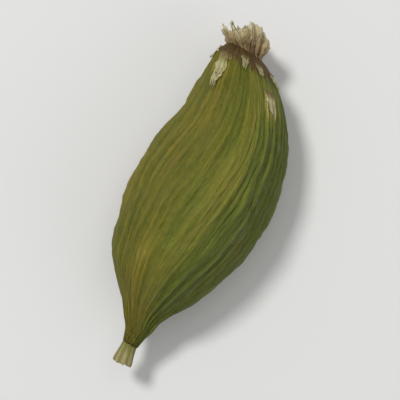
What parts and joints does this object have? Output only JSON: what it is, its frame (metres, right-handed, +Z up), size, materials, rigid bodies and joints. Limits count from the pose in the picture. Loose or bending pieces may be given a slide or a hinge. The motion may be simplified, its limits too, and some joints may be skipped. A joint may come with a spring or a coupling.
{
  "type": "green cardamom pod",
  "caption": "Dried green cardamom pod: a ribbed, three-sided husk that tapers to a stub of stalk, with the dry remnant of its flower at the other end.",
  "frame": {"origin": "middle of the small flat spot under the husk, on the surface that the pod lies on", "axes": "+Z up, away from the surface; +X along the pod, from its stalk towards its flower's remnant; +Y to the left when seen from above with the flower's end away"},
  "size_m": [0.0213, 0.0084, 0.0081],
  "materials": {
    "husk_green": "matte",
    "stalk_straw": "matte",
    "remnant_tan": "matte"
  },
  "bodies": {
    "root": {"husk": "husk_green", "stalk": "stalk_straw", "flower_remnant": "remnant_tan"}
  },
  "joints": []
}
